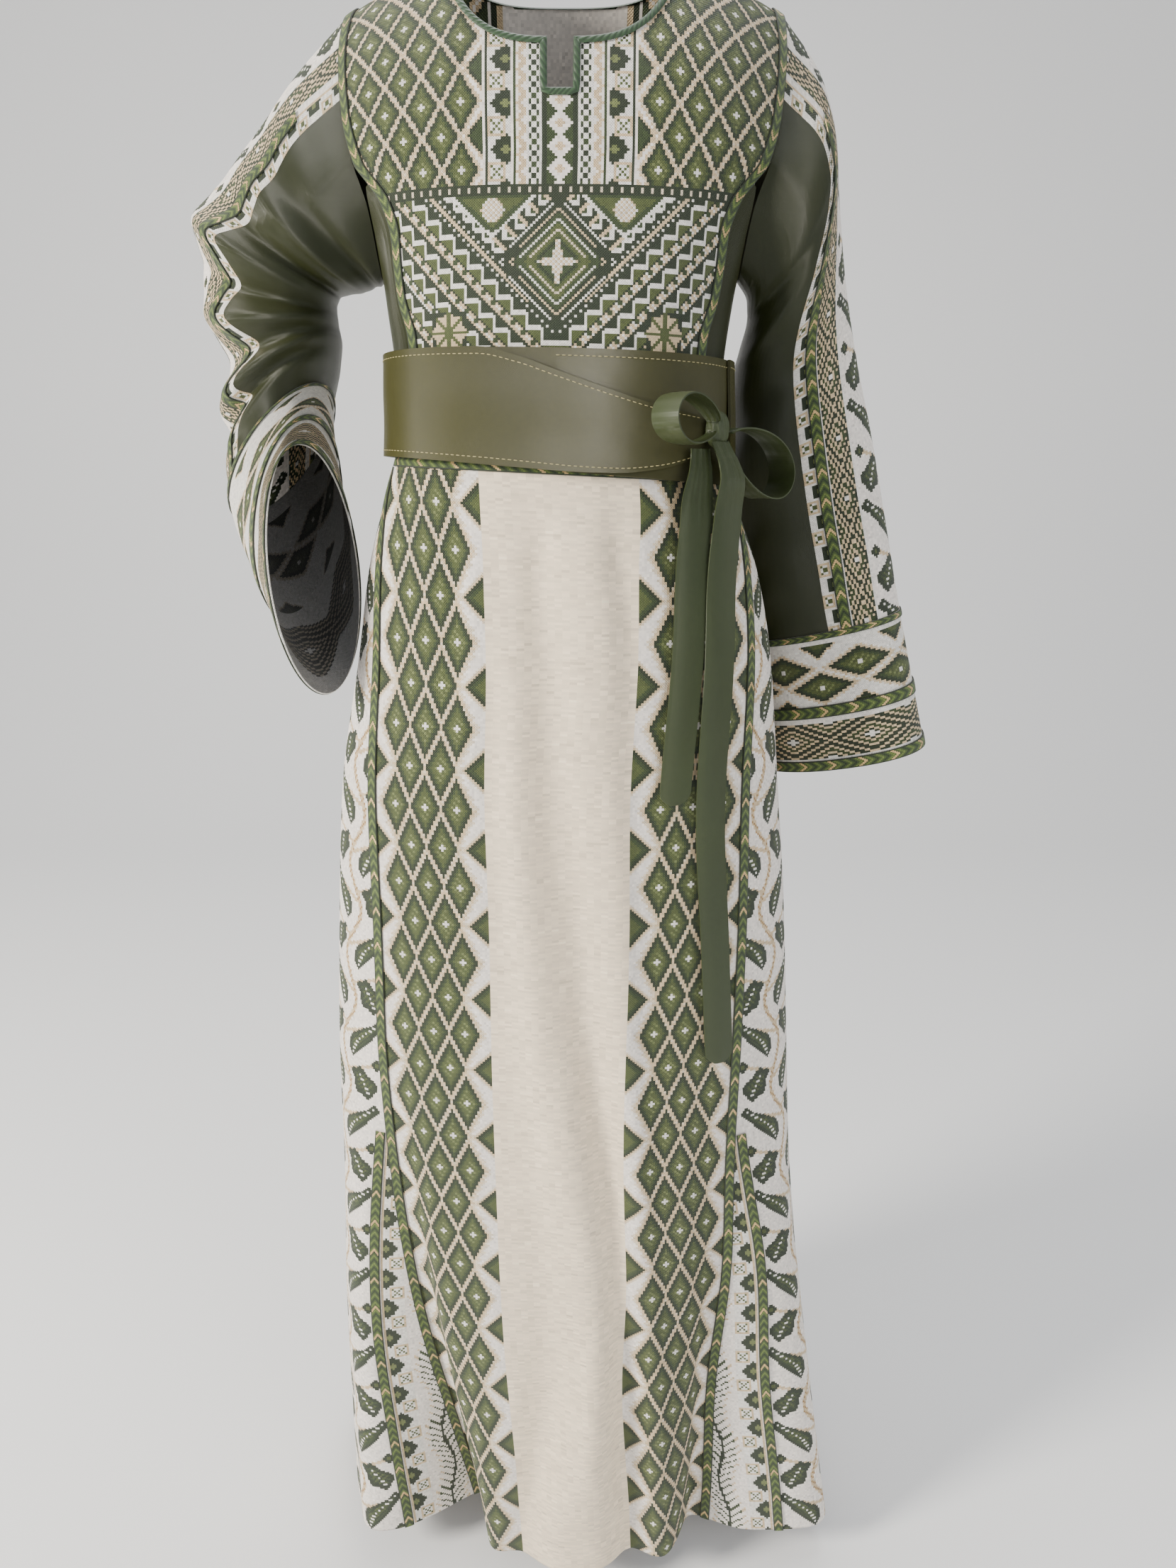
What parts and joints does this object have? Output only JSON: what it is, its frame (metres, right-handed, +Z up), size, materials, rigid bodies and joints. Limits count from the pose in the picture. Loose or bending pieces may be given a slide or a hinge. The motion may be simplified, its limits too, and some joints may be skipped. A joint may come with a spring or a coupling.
{
  "type": "thobe",
  "caption": "Long cream worn dress with green cross-stitch panels, braided seams, satin side panels, wide cuffs, and a satin sash tied in a bow.",
  "frame": {"origin": "between the two shoulder seams, level with the neck points, where the dress hangs from its wearer", "axes": "+Z up along the dress, -Y towards the front, +X towards the wearer's left"},
  "size_m": [0.6844, 0.3371, 1.5524],
  "materials": {
    "cream_cloth": "matte woven linen",
    "green_embroidery": "matte cross-stitch on linen",
    "green_satin": "smooth satin sheen",
    "braid": "woven braid with a little sheen",
    "binding": "smooth bias binding"
  },
  "bodies": {
    "root": {"belt": "green_satin", "belt_wrap": "green_satin", "bodice_back": "green_embroidery", "bodice_braid_bl": "braid", "bodice_braid_br": "braid", "bodice_braid_fl": "braid", "bodice_braid_fr": "braid", "bodice_front": "green_embroidery", "bodice_side_l": "green_satin", "bodice_side_r": "green_satin", "bow_knot": "green_satin", "bow_loop_l": "green_satin", "bow_loop_r": "green_satin", "bow_tail_long": "green_satin", "bow_tail_short": "green_satin", "cuff_braid_hem_l": "braid", "cuff_braid_hem_r": "braid", "cuff_braid_mid_l": "braid", "cuff_braid_mid_r": "braid", "cuff_braid_top_l": "braid", "cuff_braid_top_r": "braid", "cuff_l": "green_embroidery", "cuff_r": "green_embroidery", "neck_binding": "binding", "skirt_back": "green_embroidery", "skirt_braid_bl": "braid", "skirt_braid_br": "braid", "skirt_braid_fl": "braid", "skirt_braid_fr": "braid", "skirt_front": "green_embroidery", "skirt_side_l": "green_embroidery", "skirt_side_r": "green_embroidery", "sleeve_braid_bl": "braid", "sleeve_braid_br": "braid", "sleeve_braid_fl": "braid", "sleeve_braid_fr": "braid", "sleeve_top_l": "green_embroidery", "sleeve_top_r": "green_embroidery", "sleeve_under_l": "green_satin", "sleeve_under_r": "green_satin", "waist_braid": "braid"}
  },
  "joints": []
}
